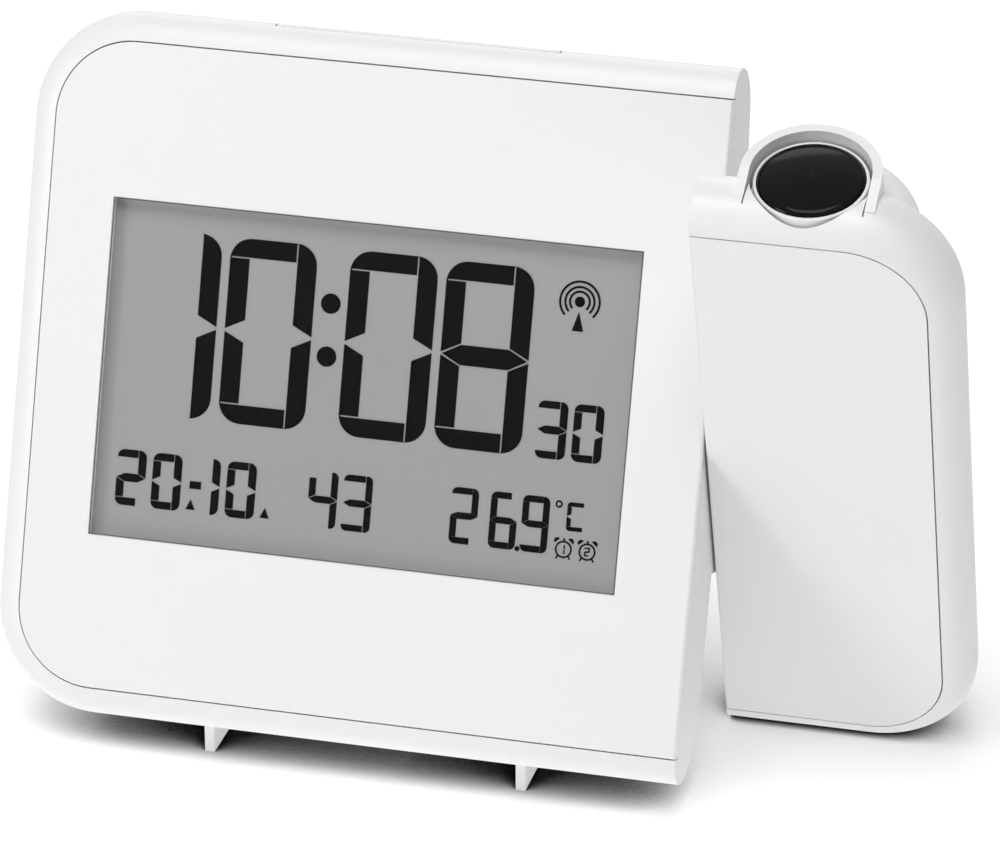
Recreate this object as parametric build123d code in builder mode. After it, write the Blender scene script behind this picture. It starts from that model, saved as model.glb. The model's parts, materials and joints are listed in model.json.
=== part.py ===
from build123d import *
import os
from math import cos, radians, sin

# Projection alarm clock: a display unit and a projector arm, hinged end to end on a
# horizontal pivot and standing astride it like a trestle.  Sizes in millimetres.
#
# Each unit is drawn in its own upright directions, measured from the hinge axis:
#   x  along the clock, 0 at the display unit's seam end and growing to the arm
#   v  up the unit's front face
#   w  through the unit, from front to back

# ---- overall sizes ----
display_width = 114.6
arm_width = 41.0
seam_gap = 0.4
unit_top = 54.5
unit_bottom = -59.5
body_front = -14.2
body_depth = 16.4
display_lean = 19.6
arm_lean = -18.97
floor_drop = 59.5
row_depth_shift = 6.53

display_left = -display_width
arm_left = seam_gap
arm_right = seam_gap + arm_width
body_back = body_front + body_depth

# ---- the moulded cases ----
wall = 1.8
corner_radius = 17.5
front_rounding = 5.4
back_slope_depth = 3.6
back_slope_width = 15.0
back_rounding = 1.19 * (body_depth - front_rounding - back_slope_depth)
bezel = 4.6
panel_thickness = 1.8
panel_gap = 0.22
panel_edge_radius = 0.5
seam_line = 0.25
slip_fit = 0.1
hump_back = 11.5
hump_rounding = 4.0
hump_corner = 8.0
root = 0.4
panel_back = body_front + panel_thickness
inner_back = body_back - wall

# ---- rear humps ----
display_hump_left = display_left + 10.6
display_hump_top = unit_top - 27.5
display_hump_bottom = unit_bottom + 32.5
arm_hump_right = arm_right - 9.4
arm_hump_top = unit_top - 32.5
arm_hump_bottom = unit_bottom + 37.5

# ---- screws ----
screw_radius = 1.15
screw_head_radius = 2.1
screw_head_height = 1.3
screw_length = 8.0
screw_slot_length = 2.4
screw_slot_width = 0.5
screw_slot_depth = 0.6
screw_hole_clearance = 0.15
boss_radius = 3.2
well_radius = 2.5
well_wall = 1.1
well_floor = 1.5
well_depth = 4.4
display_screw_left = display_left + 17.6
display_screw_right = -12.0
display_screw_top = unit_top - 16.5
display_screw_bottom = unit_bottom + 16.0
arm_screw_inset = 9.0
arm_screw_top = unit_top - 24.5
arm_screw_bottom = unit_bottom + 19.5

# ---- liquid crystal display stack ----
window_left = display_left + 15.4
window_right = -12.05
window_top = unit_top - 29.7
window_bottom = unit_bottom + 29.6
window_thickness = 1.2
window_recess = 0.15
glass_margin = 2.0
glass_thickness = 2.0
light_guide_thickness = 2.4
frame_wall = 1.6
frame_back = 0.6
board_thickness = 1.6
board_left = display_screw_left + boss_radius + 1.3
board_right = display_screw_right - boss_radius - 0.6
board_top = window_top + 16.2
board_bottom = window_bottom - 10.1

# ---- parts on the circuit board ----
switch_side = 6.0
switch_height = 2.0
switch_plunger = 0.6
snooze_switch_depth = 3.2
snooze_switch_lap = 3.0
snooze_plunger_width = 3.0
snooze_plunger_depth = 1.8
snooze_plunger_offset = 2.1
chip_side = 14.0
chip_height = 1.6
chip_left = board_right - 24.2
chip_bottom = 2.0
crystal_radius = 1.05
crystal_length = 6.2
crystal_height = 9.0
buzzer_radius = 6.0
buzzer_depth = 3.4
buzzer_hole_radius = 1.0
buzzer_hole_depth = 1.5
buzzer_x = board_right - 4.2
buzzer_height = -14.0
sensor_width = 3.0
sensor_length = 4.0
sensor_depth = 2.0
sensor_inset = 1.0
antenna_radius = 4.0
antenna_left = display_left + 26.6
antenna_right = -34.0
antenna_height = unit_bottom + 14.0
antenna_w = body_back - 8.2
coil_length = 22.0
coil_thickness = 1.0
saddle_inset = 6.0
saddle_width = 4.0

# ---- batteries ----
cell_radius = 5.25
cell_length = 44.5
cell_nub_radius = 1.9
cell_nub_length = 0.9
cell_gap = 0.6
bay_wall = 2.2
bay_centre_x = display_hump_left + 38.0
bay_bottom = display_hump_bottom + 5.5
spring_room = 3.0
spring_radius = 3.4
spring_wire = 0.6
spring_taper = 15
contact_thickness = 0.4
contact_side = 8.0
door_lap = 1.0
door_thickness = 1.6
door_gap = 0.25

# ---- keys, snooze bar and socket ----
key_radius = 3.4
key_flange_radius = 4.2
key_flange_thickness = 0.8
key_edge_radius = 0.7
key_stand_proud = 1.2
key_count = 6
key_row_left = board_left + 8.5
key_row_right = board_right - 3.2
key_row_height = unit_top - 21.7
key_clearance = 0.25
key_stem_radius = 1.4
key_travel = 0.8
snooze_left = display_left + 38.8
snooze_right = -29.0
snooze_front = body_front + 3.6
snooze_back = body_front + 13.3
snooze_gap = 0.25
snooze_floor = unit_top - 4.1
snooze_travel = 0.8
snooze_stem_width = 5.0
snooze_stem_depth = 2.0
snooze_bridge = 1.2
snooze_slot_room = 4.0
hook_reach = 1.4
hook_root = 3.0
hook_thickness = 1.0
hook_depth = 3.35
press_clearance = 0.1
socket_side = 9.0
socket_bore_radius = 3.1
socket_pin_radius = 0.65
socket_floor = 0.8
socket_face_recess = 0.3
socket_pin_recess = 1.5
socket_x = -35.5
socket_height = unit_bottom + 26.5

# ---- stand feet ----
foot_thickness = 1.6
foot_left_x = display_left + 35.7
foot_right_x = -26.8
foot_front_w = body_front + 8.6
foot_rear_reach = 31.0
foot_heel = 2.0
foot_root_front = 4.0
foot_root_back = 2.0
foot_top = unit_bottom + 21.5

# ---- hinge ----
pivot_radius = 6.0
pivot_bore_radius = 4.0
pivot_clearance = 0.05
pivot_end = 1.4
bearing_radius = 8.6
bearing_length = 4.0
pivot_flange_radius = 9.2
pivot_flange_thickness = 1.5
washer_thickness = 0.6
clip_thickness = 0.8
clip_radius = 8.2
clip_mouth = 5.0
groove_depth = 0.6

# ---- projector head on the arm ----
head_x = arm_left + 16.95
head_w = body_front + 10.7
collar_inner_radius = 9.4
collar_wall = 1.55
collar_top = unit_top + 1.2
collar_root = unit_top - 8.5
cheek_front = body_front + 4.6
slot_front = body_front + 3.7
tower_radius = 16.5
tower_top = unit_top - 5.5
tower_rounding = 6.0
tower_bottom = arm_hump_bottom + 6.0
ring_radius = 8.9
ring_top = unit_top - 0.6
ring_height = 1.85
ring_edge_radius = 0.15
ring_sleeve_radius = 5.6
ring_sleeve_length = 8.0
ring_sleeve_wall = 1.0
ring_running_clearance = 0.05
pocket_radius = collar_inner_radius
pocket_clearance = 0.1
lens_radius = 8.4
lens_seat_depth = 0.9
lens_edge_height = 1.3
lens_edge_radius = 1.2
lens_crown = 1.0
lens_glue = 0.02
mount_gap = 0.25
mount_bottom = unit_top - 14.5

# ---- projector inside the arm ----
tube_radius = 7.4
tube_wall = 1.2
tube_bottom = mount_bottom - 24.0
tube_floor = 2.0
led_radius = 1.9
led_height = 4.0
led_base_side = 7.0
led_base_height = 1.5
condenser_rise = 8.0
condenser_thickness = 3.0
mask_rise = 14.0
mask_thickness = 1.6
mask_width = 8.4
mask_depth = 8.0
arm_board_bottom = unit_bottom + 27.5
arm_board_left_inset = 6.0
arm_board_right_inset = 8.0
arm_board_offset = 1.0

# ---- drawing aids ----
past = 1.0
same_place = 0.05
RIGHT = Vector(1, 0, 0)
hinge_point = Vector((display_width - arm_right) / 2, row_depth_shift, floor_drop)


def up_of(lean):
    """Unit vector up the front face of a unit that leans back by lean degrees."""
    return Vector(0, sin(radians(lean)), cos(radians(lean)))


def back_of(lean):
    """Unit vector from front to back through a unit."""
    return Vector(0, cos(radians(lean)), -sin(radians(lean)))


def spot(lean, x, v, w):
    """Point of a unit, from its own x, v and w."""
    return hinge_point + RIGHT * x + up_of(lean) * v + back_of(lean) * w


def facing_plane(lean, w, x=0.0, v=0.0):
    """Plane at depth w facing the viewer: sketch x is x, sketch y is v."""
    return Plane(origin=spot(lean, x, v, w), x_dir=RIGHT, z_dir=back_of(lean) * -1)


def end_plane(lean, x, v=0.0, w=0.0):
    """Plane across the unit at x, facing right: sketch x is w, sketch y is v."""
    return Plane(origin=spot(lean, x, v, w), x_dir=back_of(lean), z_dir=RIGHT)


def level_plane(lean, v, x=0.0, w=0.0):
    """Plane across the unit at height v, facing up: sketch x is x, sketch y is w."""
    return Plane(origin=spot(lean, x, v, w), x_dir=RIGHT, z_dir=up_of(lean))


def block(lean, x0, x1, v0, v1, w0, w1):
    """Rectangular block between two corners of a unit."""
    with BuildPart() as piece:
        with BuildSketch(facing_plane(lean, w1, (x0 + x1) / 2, (v0 + v1) / 2)):
            Rectangle(x1 - x0, v1 - v0)
        extrude(amount=w1 - w0)
    return piece.part


def upright_rod(lean, x, w, radius, v0, v1):
    """Round rod standing up the unit."""
    with BuildPart() as piece:
        with BuildSketch(level_plane(lean, v0, x, w)):
            Circle(radius)
        extrude(amount=v1 - v0)
    return piece.part


def through_rod(lean, x, v, radius, w0, w1):
    """Round rod lying front to back."""
    with BuildPart() as piece:
        with BuildSketch(facing_plane(lean, w1, x, v)):
            Circle(radius)
        extrude(amount=w1 - w0)
    return piece.part


def cross_rod(lean, v, w, radius, x0, x1):
    """Round rod lying along the clock."""
    with BuildPart() as piece:
        with BuildSketch(end_plane(lean, x0, v, w)):
            Circle(radius)
        extrude(amount=x1 - x0)
    return piece.part


def slab(lean, seam_x, outer_x, inset, seam_inset):
    """Rounded case form: square at the seam end, rounded on every other side."""
    toward_outer = 1 if outer_x > seam_x else -1
    x_seam = seam_x + toward_outer * seam_inset
    x_outer = outer_x - toward_outer * inset
    top = unit_top - inset
    bottom = unit_bottom + inset
    middle = ((x_seam + x_outer) / 2, (top + bottom) / 2)
    back_direction = back_of(lean)
    slope_start = body_back - inset - back_slope_depth

    def clear_of_seam(edge):
        return abs(edge.center().X - hinge_point.X - x_seam) > same_place

    def starts_the_slope(edge):
        depths = [(point - hinge_point).dot(back_direction) for point in (edge @ 0, edge.center())]
        return all(abs(depth - slope_start) < same_place for depth in depths)

    with BuildPart() as form:
        with BuildSketch(facing_plane(lean, body_back - inset, *middle)):
            Rectangle(abs(x_outer - x_seam), top - bottom)
            outer_corners = vertices().group_by(Axis.X)[-1 if toward_outer > 0 else 0]
            fillet(outer_corners, corner_radius - inset)
        extrude(amount=body_depth - 2 * inset)
        through = Axis((0, 0, 0), tuple(back_direction))
        front_face = faces().sort_by(through)[0]
        fillet(front_face.edges().filter_by(clear_of_seam), front_rounding - inset)
        back_face = faces().sort_by(through)[-1]
        chamfer(back_face.edges().filter_by(clear_of_seam), length=back_slope_width,
                length2=back_slope_depth, reference=back_face)
        fillet(edges().filter_by(starts_the_slope).filter_by(clear_of_seam), back_rounding - inset)
    return form.part


def hump(lean, x0, x1, v0, v1, inset, open_sides=()):
    """Swelling on the back of a case; open_sides names the x sides left square and flush."""
    left = x0 if "left" in open_sides else x0 + inset
    right = x1 if "right" in open_sides else x1 - inset
    deep = body_back - 3 * wall
    with BuildPart() as form:
        with BuildSketch(facing_plane(lean, hump_back - inset, (left + right) / 2, (v0 + v1) / 2)):
            Rectangle(right - left, v1 - v0 - 2 * inset)
            if "left" not in open_sides:
                fillet(vertices().group_by(Axis.X)[0], hump_corner - inset)
            if "right" not in open_sides:
                fillet(vertices().group_by(Axis.X)[-1], hump_corner - inset)
        extrude(amount=hump_back - inset - deep)
        through = Axis((0, 0, 0), tuple(back_of(lean)))
        square_ends = [hinge_point.X + side for side, name in ((left, "left"), (right, "right"))
                       if name in open_sides]
        rim = faces().sort_by(through)[-1].edges().filter_by(
            lambda edge: all(abs(edge.center().X - end) > same_place for end in square_ends))
        fillet(rim, hump_rounding - inset)
    return form.part


def save(piece, name):
    """Label a finished piece and write its file."""
    piece.part.label = name
    export_step(piece.part, "parts/" + name + ".step")


os.makedirs("parts", exist_ok=True)
D = display_lean
A = arm_lean
well_bottom = body_back - well_depth
well_underside = well_bottom - well_floor

# ================= display unit: rear housing =================
display_outer = slab(D, 0.0, display_left, 0.0, 0.0)
display_hump = hump(D, display_hump_left, 0.0, display_hump_bottom, display_hump_top, 0.0, ("right",))
display_inner = slab(D, 0.0, display_left, wall, wall)
display_hump_inner = hump(D, display_hump_left, -wall, display_hump_bottom, display_hump_top, wall,
                          ("right",))

bay_length = cell_length + cell_nub_length + spring_room
bay_left = bay_centre_x - bay_length / 2
bay_right = bay_centre_x + bay_length / 2
bay_height = 4 * cell_radius + 3 * cell_gap
bay_top = bay_bottom + bay_height
door_front = hump_back - door_thickness
bay_floor = door_front - 2 * cell_radius - cell_gap
door_left = bay_left - door_lap
door_right = bay_right + door_lap
door_top = bay_top + door_lap

frame_front = panel_back + slip_fit / 2
glass_left = window_left - glass_margin
glass_right = window_right + glass_margin
glass_bottom = window_bottom - glass_margin
glass_top = window_top + glass_margin
glass_back = frame_front + glass_thickness
guide_front = glass_back + slip_fit
guide_back = guide_front + light_guide_thickness
board_front = guide_back + frame_back
board_back = board_front + board_thickness

display_screws = [(place_x, place_v) for place_x in (display_screw_left, display_screw_right)
                  for place_v in (display_screw_top, display_screw_bottom)]
key_pitch = (key_row_right - key_row_left) / (key_count - 1)
key_places = [key_row_left + key_pitch * step for step in range(key_count)]
snooze_middle = (snooze_left + snooze_right) / 2
saddle_places = (antenna_left + saddle_inset, antenna_right - saddle_inset)


def panel_pocket(lean, seam_x, outer_x, gap, depth_back):
    """Outline of the front panel's seat, square at the seam end."""
    toward_outer = 1 if outer_x > seam_x else -1
    edge_x = outer_x - toward_outer * (bezel + gap)
    top = unit_top - bezel - gap
    bottom = unit_bottom + bezel + gap
    with BuildPart() as form:
        with BuildSketch(facing_plane(lean, depth_back, (seam_x + edge_x) / 2, (top + bottom) / 2)):
            Rectangle(abs(edge_x - seam_x), top - bottom)
            outer_corners = vertices().group_by(Axis.X)[-1 if toward_outer > 0 else 0]
            fillet(outer_corners, corner_radius - bezel - gap)
        extrude(amount=depth_back - body_front)
    return form.part


def panel_seat(lean, seam_x, outer_x):
    """Room for a front panel, with a shadow line left in front of the seam wall."""
    toward_outer = 1 if outer_x > seam_x else -1
    wall_x = seam_x + toward_outer * wall
    with BuildPart() as form:
        add(panel_pocket(lean, seam_x, outer_x, 0.0, panel_back))
        add(block(lean, min(seam_x, wall_x), max(seam_x, wall_x), unit_bottom + bezel, unit_top - bezel,
                  panel_back - root, panel_back + seam_line))
    return form.part


def front_panel(lean, seam_x, outer_x, screw_places):
    """Front panel with its seam edge eased and a boss behind every screw."""
    toward_outer = 1 if outer_x > seam_x else -1
    with BuildPart() as form:
        add(panel_pocket(lean, seam_x, outer_x, panel_gap, panel_back))
        front_face = faces().sort_by(Axis((0, 0, 0), tuple(back_of(lean))))[0]
        seam_edge = front_face.edges().sort_by(Axis.X)[0 if toward_outer > 0 else -1]
        fillet(seam_edge, panel_edge_radius)
        for place_x, place_v in screw_places:
            add(through_rod(lean, place_x, place_v, boss_radius, panel_back - root,
                            well_underside - slip_fit))
            add(through_rod(lean, place_x, place_v, screw_radius, panel_back + root, well_underside),
                mode=Mode.SUBTRACT)
    return form.part


def screw_wells(lean, screw_places):
    """Counterbores for the screw heads, driven from the back."""
    with BuildPart() as form:
        for place_x, place_v in screw_places:
            add(through_rod(lean, place_x, place_v, well_radius, well_bottom, hump_back + past))
            add(through_rod(lean, place_x, place_v, screw_radius + screw_hole_clearance,
                            well_underside - past, well_bottom))
    return form.part


with BuildPart() as display_cavity:
    add(display_inner)
    add(display_hump_inner)
    # left standing inside: the pivot's bearing, the battery tray, antenna saddles and screw wells
    add(cross_rod(D, 0, 0, bearing_radius, -wall - bearing_length, 0), mode=Mode.SUBTRACT)
    add(block(D, bay_left - bay_wall, bay_right + bay_wall, bay_bottom - bay_wall, bay_top + bay_wall,
              bay_floor - bay_wall, hump_back), mode=Mode.SUBTRACT)
    for place_x in saddle_places:
        add(block(D, place_x - saddle_width / 2, place_x + saddle_width / 2,
                  antenna_height - antenna_radius, antenna_height + antenna_radius,
                  antenna_w + antenna_radius / 2, body_back), mode=Mode.SUBTRACT)
    for place_x, place_v in display_screws:
        add(through_rod(D, place_x, place_v, well_radius + well_wall, well_underside, body_back),
            mode=Mode.SUBTRACT)

with BuildPart() as display_rear_housing:
    add(display_outer)
    add(display_hump)
    add(display_cavity.part, mode=Mode.SUBTRACT)
    add(panel_seat(D, 0.0, display_left), mode=Mode.SUBTRACT)
    add(cross_rod(D, 0, 0, pivot_radius + pivot_clearance, -wall - bearing_length - past, past),
        mode=Mode.SUBTRACT)
    add(screw_wells(D, display_screws), mode=Mode.SUBTRACT)
    # battery bay, open to the back, and the seat of its door
    add(block(D, bay_left, bay_right, bay_bottom, bay_top, bay_floor, hump_back + past),
        mode=Mode.SUBTRACT)
    add(block(D, door_left - door_gap, door_right + door_gap, display_hump_bottom - past,
              door_top + door_gap, door_front - door_gap, hump_back + past), mode=Mode.SUBTRACT)
    add(block(D, door_left - door_gap, door_right + door_gap, display_hump_bottom - past,
              display_hump_bottom + wall + door_gap, body_back, hump_back + past), mode=Mode.SUBTRACT)
    add(cross_rod(D, antenna_height, antenna_w, antenna_radius + slip_fit, antenna_left - past,
                  antenna_right + past), mode=Mode.SUBTRACT)
    for place_x in key_places:
        add(through_rod(D, place_x, key_row_height, key_radius + key_clearance, inner_back - past,
                        body_back + past), mode=Mode.SUBTRACT)
    # slot for the snooze bar in the top
    add(block(D, snooze_left, snooze_right, snooze_floor - snooze_slot_room, unit_top + past,
              snooze_front, snooze_back), mode=Mode.SUBTRACT)
    # opening for the supply socket
    add(block(D, socket_x - socket_side / 2 - slip_fit, socket_x + socket_side / 2 + slip_fit,
              socket_height - socket_side / 2 - slip_fit, socket_height + socket_side / 2 + slip_fit,
              inner_back - past, body_back + past), mode=Mode.SUBTRACT)
save(display_rear_housing, "display_rear_housing")

# ================= display unit: front panel and display =================
with BuildPart() as display_front_panel:
    add(front_panel(D, 0.0, display_left, display_screws))
    add(block(D, window_left, window_right, window_bottom, window_top, body_front - past,
              panel_back + past), mode=Mode.SUBTRACT)
save(display_front_panel, "display_front_panel")

with BuildPart() as lcd_window:
    add(block(D, window_left + slip_fit, window_right - slip_fit, window_bottom + slip_fit,
              window_top - slip_fit, body_front + window_recess,
              body_front + window_recess + window_thickness))
save(lcd_window, "lcd_window")

with BuildPart() as lcd_glass:
    add(block(D, glass_left + slip_fit, glass_right - slip_fit, glass_bottom + slip_fit,
              glass_top - slip_fit, frame_front, glass_back))
save(lcd_glass, "lcd_glass")

with BuildPart() as light_guide:
    add(block(D, glass_left + slip_fit, glass_right - slip_fit, glass_bottom + slip_fit,
              glass_top - slip_fit, guide_front, guide_back))
save(light_guide, "light_guide")

with BuildPart() as lcd_frame:
    add(block(D, glass_left - frame_wall, glass_right + frame_wall, glass_bottom - frame_wall,
              glass_top + frame_wall, frame_front, board_front - slip_fit))
    add(block(D, glass_left, glass_right, glass_bottom, glass_top, frame_front - past,
              guide_back + slip_fit), mode=Mode.SUBTRACT)
save(lcd_frame, "lcd_frame")

# ================= display unit: electronics =================
with BuildPart() as main_circuit_board:
    add(block(D, board_left, board_right, board_bottom, board_top, board_front, board_back))
save(main_circuit_board, "main_circuit_board")

switch_face = board_back + switch_height
with BuildPart() as key_switches:
    for place_x in key_places:
        add(block(D, place_x - switch_side / 2, place_x + switch_side / 2,
                  key_row_height - switch_side / 2, key_row_height + switch_side / 2,
                  board_back, switch_face))
        add(through_rod(D, place_x, key_row_height, key_stem_radius, switch_face,
                        switch_face + switch_plunger))
save(key_switches, "key_switches")

snooze_switch_face = board_top + switch_height
snooze_switch_tip = snooze_switch_face + switch_plunger
snooze_plunger_front = board_front - snooze_plunger_offset - snooze_plunger_depth / 2
with BuildPart() as snooze_switch:
    add(block(D, snooze_middle - switch_side / 2, snooze_middle + switch_side / 2,
              board_top - snooze_switch_lap, snooze_switch_face, board_front - snooze_switch_depth,
              board_front))
    add(block(D, snooze_middle - snooze_plunger_width / 2, snooze_middle + snooze_plunger_width / 2,
              snooze_switch_face, snooze_switch_tip, snooze_plunger_front,
              snooze_plunger_front + snooze_plunger_depth))
save(snooze_switch, "snooze_switch")

with BuildPart() as clock_chip:
    add(block(D, chip_left, chip_left + chip_side, chip_bottom, chip_bottom + chip_side, board_back,
              board_back + chip_height))
save(clock_chip, "clock_chip")

with BuildPart() as quartz_crystal:
    add(cross_rod(D, crystal_height, board_back + crystal_radius + slip_fit / 2, crystal_radius,
                  board_right - crystal_length, board_right))
save(quartz_crystal, "quartz_crystal")

with BuildPart() as alarm_buzzer:
    add(through_rod(D, buzzer_x, buzzer_height, buzzer_radius, board_back, board_back + buzzer_depth))
    add(through_rod(D, buzzer_x, buzzer_height, buzzer_hole_radius,
                    board_back + buzzer_depth - buzzer_hole_depth, board_back + buzzer_depth + past),
        mode=Mode.SUBTRACT)
save(alarm_buzzer, "alarm_buzzer")

with BuildPart() as antenna_rod:
    add(cross_rod(D, antenna_height, antenna_w, antenna_radius, antenna_left, antenna_right))
save(antenna_rod, "antenna_rod")

coil_left = (antenna_left + antenna_right - coil_length) / 2
with BuildPart() as antenna_coil:
    add(cross_rod(D, antenna_height, antenna_w, antenna_radius + coil_thickness, coil_left,
                  coil_left + coil_length))
    add(cross_rod(D, antenna_height, antenna_w, antenna_radius, coil_left - past,
                  coil_left + coil_length + past), mode=Mode.SUBTRACT)
save(antenna_coil, "antenna_coil")

sensor_left = board_left + sensor_inset
sensor_low = board_bottom + sensor_inset
with BuildPart() as temperature_sensor:
    add(block(D, sensor_left, sensor_left + sensor_width, sensor_low, sensor_low + sensor_length,
              board_front - sensor_depth, board_front))
save(temperature_sensor, "temperature_sensor")

# ================= display unit: batteries and door =================
cell_heights = (bay_bottom + cell_gap + cell_radius, bay_top - cell_gap - cell_radius)
cell_centre_w = door_front - cell_gap / 2 - cell_radius
with BuildPart() as battery_cells:
    for direction, place_v in zip((1, -1), cell_heights):
        body_start = bay_centre_x - (cell_length + direction * cell_nub_length) / 2
        body_start = body_start + (spring_room - cell_nub_length) * direction / 2
        add(cross_rod(D, place_v, cell_centre_w, cell_radius, body_start, body_start + cell_length))
        nub_start = body_start + cell_length if direction > 0 else body_start - cell_nub_length
        add(cross_rod(D, place_v, cell_centre_w, cell_nub_radius, nub_start, nub_start + cell_nub_length))
save(battery_cells, "battery_cells")

with BuildPart() as battery_door:
    add(block(D, door_left, door_right, display_hump_bottom, door_top, door_front, hump_back + past))
    add(block(D, door_left, door_right, display_hump_bottom, display_hump_bottom + wall,
              body_back + 2 * door_gap, hump_back))
    add(display_hump, mode=Mode.INTERSECT)
save(battery_door, "battery_door")

with BuildPart() as battery_contacts:
    for direction, place_v in zip((1, -1), cell_heights):
        for plate_start in (bay_left, bay_right - contact_thickness):
            add(block(D, plate_start, plate_start + contact_thickness, place_v - contact_side / 2,
                      place_v + contact_side / 2, cell_centre_w - contact_side / 2,
                      cell_centre_w + contact_side / 2))
        spring_x = bay_left if direction > 0 else bay_right
        with BuildSketch(end_plane(D, spring_x + direction * contact_thickness, place_v, cell_centre_w)):
            Circle(spring_radius)
            Circle(spring_radius - spring_wire, mode=Mode.SUBTRACT)
        extrude(amount=direction * (spring_room - contact_thickness - slip_fit), taper=spring_taper)
save(battery_contacts, "battery_contacts")

# ================= display unit: snooze bar and keys =================
stem_w = board_front - snooze_plunger_offset
bridge_low = snooze_floor - snooze_bridge
hook_front = snooze_front + snooze_gap + root
with BuildPart() as snooze_bar:
    add(block(D, snooze_left + snooze_gap, snooze_right - snooze_gap, snooze_floor, unit_top + past,
              snooze_front + snooze_gap, snooze_back - snooze_gap))
    add(display_outer, mode=Mode.INTERSECT)
    add(block(D, snooze_middle - snooze_stem_width / 2, snooze_middle + snooze_stem_width / 2,
              snooze_switch_tip + snooze_travel + press_clearance, snooze_floor,
              stem_w - snooze_stem_depth / 2, stem_w + snooze_stem_depth / 2))
    add(block(D, snooze_middle - snooze_stem_width / 2, snooze_middle + snooze_stem_width / 2,
              bridge_low, snooze_floor + root, stem_w - snooze_stem_depth / 2,
              snooze_back - snooze_stem_depth))
    # end hooks that keep the bar under the case wall
    for end_x, outward in ((snooze_left, -1), (snooze_right, 1)):
        root_x = end_x - outward * hook_root
        neck_x = end_x - outward * hook_root / 2
        tip_x = end_x + outward * hook_reach
        add(block(D, min(root_x, tip_x), max(root_x, tip_x), bridge_low, bridge_low + hook_thickness,
                  hook_front, hook_front + hook_depth))
        add(block(D, min(root_x, neck_x), max(root_x, neck_x), bridge_low, snooze_floor + root,
                  hook_front, hook_front + hook_depth))
save(snooze_bar, "snooze_bar")

key_names = ("key_set", "key_mode", "key_up", "key_down", "key_alarm", "key_signal")
flange_back = inner_back - slip_fit
flange_front = flange_back - key_flange_thickness
key_tip = switch_face + switch_plunger + key_travel + press_clearance
for key_name, place_x in zip(key_names, key_places):
    with BuildPart() as key:
        add(through_rod(D, place_x, key_row_height, key_radius, flange_back, body_back + key_stand_proud))
        cap_edge = faces().sort_by(Axis((0, 0, 0), tuple(back_of(D))))[-1].edges()
        fillet(cap_edge, key_edge_radius)
        add(through_rod(D, place_x, key_row_height, key_flange_radius, flange_front, flange_back))
        add(through_rod(D, place_x, key_row_height, key_stem_radius, key_tip, flange_front))
    save(key, key_name)

# ================= display unit: socket, screws and feet =================
with BuildPart() as supply_socket:
    add(block(D, socket_x - socket_side / 2, socket_x + socket_side / 2,
              socket_height - socket_side / 2, socket_height + socket_side / 2,
              board_back, body_back - socket_face_recess))
    add(through_rod(D, socket_x, socket_height, socket_bore_radius, board_back + socket_floor,
                    body_back + past), mode=Mode.SUBTRACT)
    add(through_rod(D, socket_x, socket_height, socket_pin_radius, board_back + socket_floor - root,
                    body_back - socket_pin_recess))
save(supply_socket, "supply_socket")


def screw(lean, place_x, place_v):
    """Pan-head screw driven from the back into the front panel's boss."""
    head_seat = well_bottom + slip_fit / 2
    with BuildPart() as piece:
        add(through_rod(lean, place_x, place_v, screw_radius - slip_fit / 2, head_seat - screw_length,
                        head_seat))
        add(through_rod(lean, place_x, place_v, screw_head_radius, head_seat,
                        head_seat + screw_head_height))
        with BuildSketch(facing_plane(lean, head_seat + screw_head_height, place_x, place_v)):
            Rectangle(screw_slot_length, screw_slot_width)
            Rectangle(screw_slot_width, screw_slot_length)
        extrude(amount=screw_slot_depth, mode=Mode.SUBTRACT)
    return piece.part


with BuildPart() as case_screws:
    for place_x, place_v in display_screws:
        add(screw(D, place_x, place_v))
save(case_screws, "case_screws")

foot_front = spot(D, 0, unit_bottom, foot_front_w)
foot_rear = foot_front.Y + foot_rear_reach
case_low = spot(D, 0, foot_top, body_back)
for foot_name, place_x in (("foot_left", foot_left_x), ("foot_right", foot_right_x)):
    with BuildPart() as foot:
        across = Plane(origin=(hinge_point.X + place_x - foot_thickness / 2, 0, 0),
                       x_dir=(0, 1, 0), z_dir=(1, 0, 0))
        with BuildSketch(across):
            with BuildLine():
                Polyline((foot_front.Y, 0), (foot_rear, 0), (foot_rear, foot_heel),
                         (case_low.Y + foot_root_back, case_low.Z),
                         (case_low.Y - foot_root_front, case_low.Z),
                         (foot_front.Y, foot_front.Z), close=True)
            make_face()
        extrude(amount=foot_thickness)
        add(display_outer, mode=Mode.SUBTRACT)
    save(foot, foot_name)

# ================= hinge =================
flange_start = arm_left + wall + slip_fit
washer_start = -wall - bearing_length - slip_fit - washer_thickness
groove_start = washer_start - clip_thickness - slip_fit
pivot_left = groove_start - pivot_end
with BuildPart() as hinge_pivot:
    add(cross_rod(A, 0, 0, pivot_radius, pivot_left, flange_start))
    add(cross_rod(A, 0, 0, pivot_flange_radius, flange_start, flange_start + pivot_flange_thickness))
    add(cross_rod(A, 0, 0, pivot_bore_radius, pivot_left - past,
                  flange_start + pivot_flange_thickness + past), mode=Mode.SUBTRACT)
    with BuildSketch(end_plane(A, groove_start)):
        Circle(pivot_radius + past)
        Circle(pivot_radius - groove_depth, mode=Mode.SUBTRACT)
    extrude(amount=clip_thickness + slip_fit, mode=Mode.SUBTRACT)
save(hinge_pivot, "hinge_pivot")

with BuildPart() as hinge_clip:
    with BuildSketch(end_plane(A, groove_start + slip_fit / 2)):
        Circle(clip_radius)
        Circle(pivot_radius - groove_depth + slip_fit / 2, mode=Mode.SUBTRACT)
        with Locations((0, -clip_radius)):
            Rectangle(clip_mouth, 2 * clip_radius, mode=Mode.SUBTRACT)
    extrude(amount=clip_thickness)
save(hinge_clip, "hinge_clip")

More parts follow.
